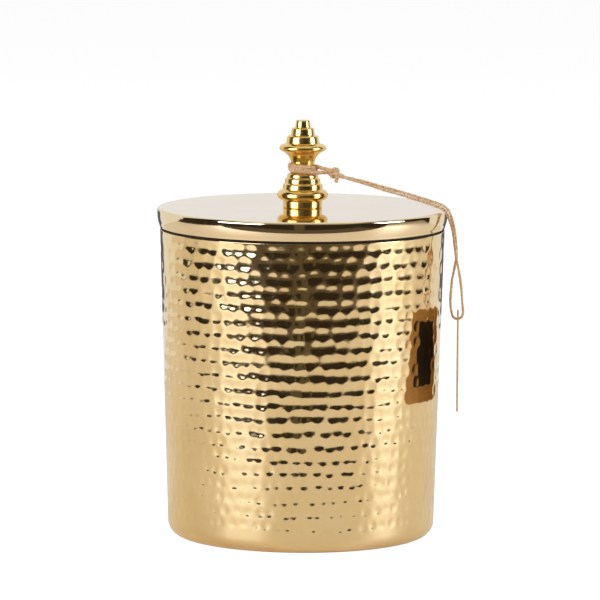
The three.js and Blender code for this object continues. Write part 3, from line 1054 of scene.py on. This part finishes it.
screw_low, screw_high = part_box("knob_screw")
screw_head_top = screw_low.z + 2.4 * MM
socket_radius = 1.5 * MM
thread_core = 1.62 * MM
thread_crest = 1.95 * MM
thread_pitch = 0.7 * MM
thread_turns = int((screw_high.z - screw_head_top) / thread_pitch) - 1
thread = []
for turn in range(thread_turns):
    foot = screw_head_top + (turn + 0.5) * thread_pitch
    thread += [
        (thread_core, foot),
        (thread_crest, foot + 0.3 * MM),
        (thread_crest, foot + 0.4 * MM),
    ]
screw = spun(
    "pan_head_screw",
    [
        (0, screw_low.z + 0.9 * MM),
        (socket_radius, screw_low.z + 0.9 * MM),
        (socket_radius, screw_low.z + 0.1 * MM),
        (1.7 * MM, screw_low.z),
        (2.4 * MM, screw_low.z + 0.05 * MM),
        (3.3 * MM, screw_low.z + 0.5 * MM),
        (3.75 * MM, screw_low.z + 1.2 * MM),
        (3.8 * MM, screw_head_top - 0.2 * MM),
        (3.65 * MM, screw_head_top),
        (thread_core, screw_head_top),
        *thread,
        (thread_core, screw_high.z - 0.4 * MM),
        (1.2 * MM, screw_high.z),
        (0, screw_high.z),
    ],
    64,
)
stands_for(screw, "knob_screw", "lid", zinc)


# ---- tag --------------------------------------------------------------------------------------
# Stiff brown kraft card with rounded corners, punched near its top edge for the twine. A plain
# black panel is printed on the face that is turned to the tin.
tag_low, tag_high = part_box("swing_tag")
tag_middle = (tag_low + tag_high) / 2
tag_width = 34 * MM
tag_height = tag_high.z - tag_low.z
tag_thickness = 0.8 * MM
tag_turn = math.radians(-1.6)
tag_corner = 1.2 * MM
card_edge_round = 0.09 * MM
tag_hole_radius = 1.5 * MM
tag_hole_drop = 2.5 * MM
panel_size = (18.5 * MM, 26 * MM)
panel_drop = 4.6 * MM
printed_edge = 0.08 * MM


def punched_card():
    """The card as a mesh: its thickness along X, its width along Y, its middle at the origin."""
    shape = bmesh.new()
    loops = []
    for right, up, start in ((1, 1, 0), (-1, 1, 90), (-1, -1, 180), (1, -1, 270)):
        across = right * (tag_width / 2 - tag_corner)
        upward = up * (tag_height / 2 - tag_corner)
        loops += [(y + across, z + upward) for y, z in arc(0, 0, tag_corner, start, start + 90, 6)]
    hole = arc(0, tag_height / 2 - tag_hole_drop, tag_hole_radius, 0, 360, 32)[:-1]
    edges = []
    for loop in (loops, hole):
        ring = [shape.verts.new((-tag_thickness / 2, y, z)) for y, z in loop]
        edges += [shape.edges.new(pair) for pair in zip(ring, ring[1:] + ring[:1])]
    filled = bmesh.ops.triangle_fill(shape, use_beauty=True, edges=edges)
    faces = [part for part in filled["geom"] if isinstance(part, bmesh.types.BMFace)]
    raised = bmesh.ops.extrude_face_region(shape, geom=faces)
    moved = [part for part in raised["geom"] if isinstance(part, bmesh.types.BMVert)]
    bmesh.ops.translate(shape, verts=moved, vec=(tag_thickness, 0, 0))
    bmesh.ops.recalc_face_normals(shape, faces=shape.faces)
    sharp = [e for e in shape.edges if e.is_manifold and e.calc_face_angle() > math.radians(60)]
    bmesh.ops.bevel(
        shape,
        geom=sharp,
        offset=card_edge_round,
        offset_type="OFFSET",
        affect="EDGES",
        segments=2,
        profile=0.5,
        material=-1,
    )
    bmesh.ops.recalc_face_normals(shape, faces=shape.faces)
    bmesh.ops.rotate(
        shape, verts=shape.verts, cent=(0, 0, 0), matrix=Matrix.Rotation(tag_turn, 3, "Z")
    )
    bmesh.ops.translate(shape, verts=shape.verts, vec=tag_middle)
    return shape


def between(tree, value, low, high):
    """1 where the value lies between low and high, with a soft printed edge, and 0 elsewhere."""
    middle = (low + high) / 2
    half = (high - low) / 2
    away = tree.nodes.new("ShaderNodeMath")
    away.operation = "SUBTRACT"
    away.inputs[1].default_value = middle
    tree.links.new(value, away.inputs[0])
    size = tree.nodes.new("ShaderNodeMath")
    size.operation = "ABSOLUTE"
    tree.links.new(away.outputs[0], size.inputs[0])
    mask = tree.nodes.new("ShaderNodeMapRange")
    mask.inputs["From Min"].default_value = half - printed_edge
    mask.inputs["From Max"].default_value = half + printed_edge
    mask.inputs["To Min"].default_value = 1
    mask.inputs["To Max"].default_value = 0
    tree.links.new(size.outputs[0], mask.inputs["Value"])
    return mask.outputs["Result"]


def kraft_material():
    made, tree, shader = new_material("kraft_card", (0.42, 0.29, 0.17), 0.82)
    paper = blend_colours(
        tree,
        noise(tree, 1700, 6),
        [(0.3, (0.46, 0.26, 0.1)), (0.5, (0.58, 0.36, 0.15)), (0.72, (0.69, 0.47, 0.23))],
    )
    coords = tree.nodes.new("ShaderNodeTexCoord")
    axes = tree.nodes.new("ShaderNodeSeparateXYZ")
    tree.links.new(coords.outputs["Object"], axes.inputs[0])
    panel_top = tag_high.z - panel_drop
    across = between(
        tree, axes.outputs["Y"], tag_middle.y - panel_size[0] / 2, tag_middle.y + panel_size[0] / 2
    )
    upward = between(tree, axes.outputs["Z"], panel_top - panel_size[1], panel_top)
    inner_face = between(tree, axes.outputs["X"], tag_low.x - MM, tag_middle.x)
    printed = across
    for part in (upward, inner_face):
        both = tree.nodes.new("ShaderNodeMath")
        both.operation = "MULTIPLY"
        tree.links.new(printed, both.inputs[0])
        tree.links.new(part, both.inputs[1])
        printed = both.outputs[0]
    ink = tree.nodes.new("ShaderNodeMix")
    ink.data_type = "RGBA"
    ink.inputs["B"].default_value = (0.018, 0.017, 0.016, 1)
    tree.links.new(printed, ink.inputs["Factor"])
    tree.links.new(paper, ink.inputs["A"])
    tree.links.new(ink.outputs["Result"], shader.inputs["Base Color"])
    add_relief(tree, shader, noise(tree, 2600, 4), 0.03 * MM, 0.5)
    return made


tag = piece_from("hanging_tag", punched_card())
stands_for(tag, "swing_tag", "tag", kraft_material())
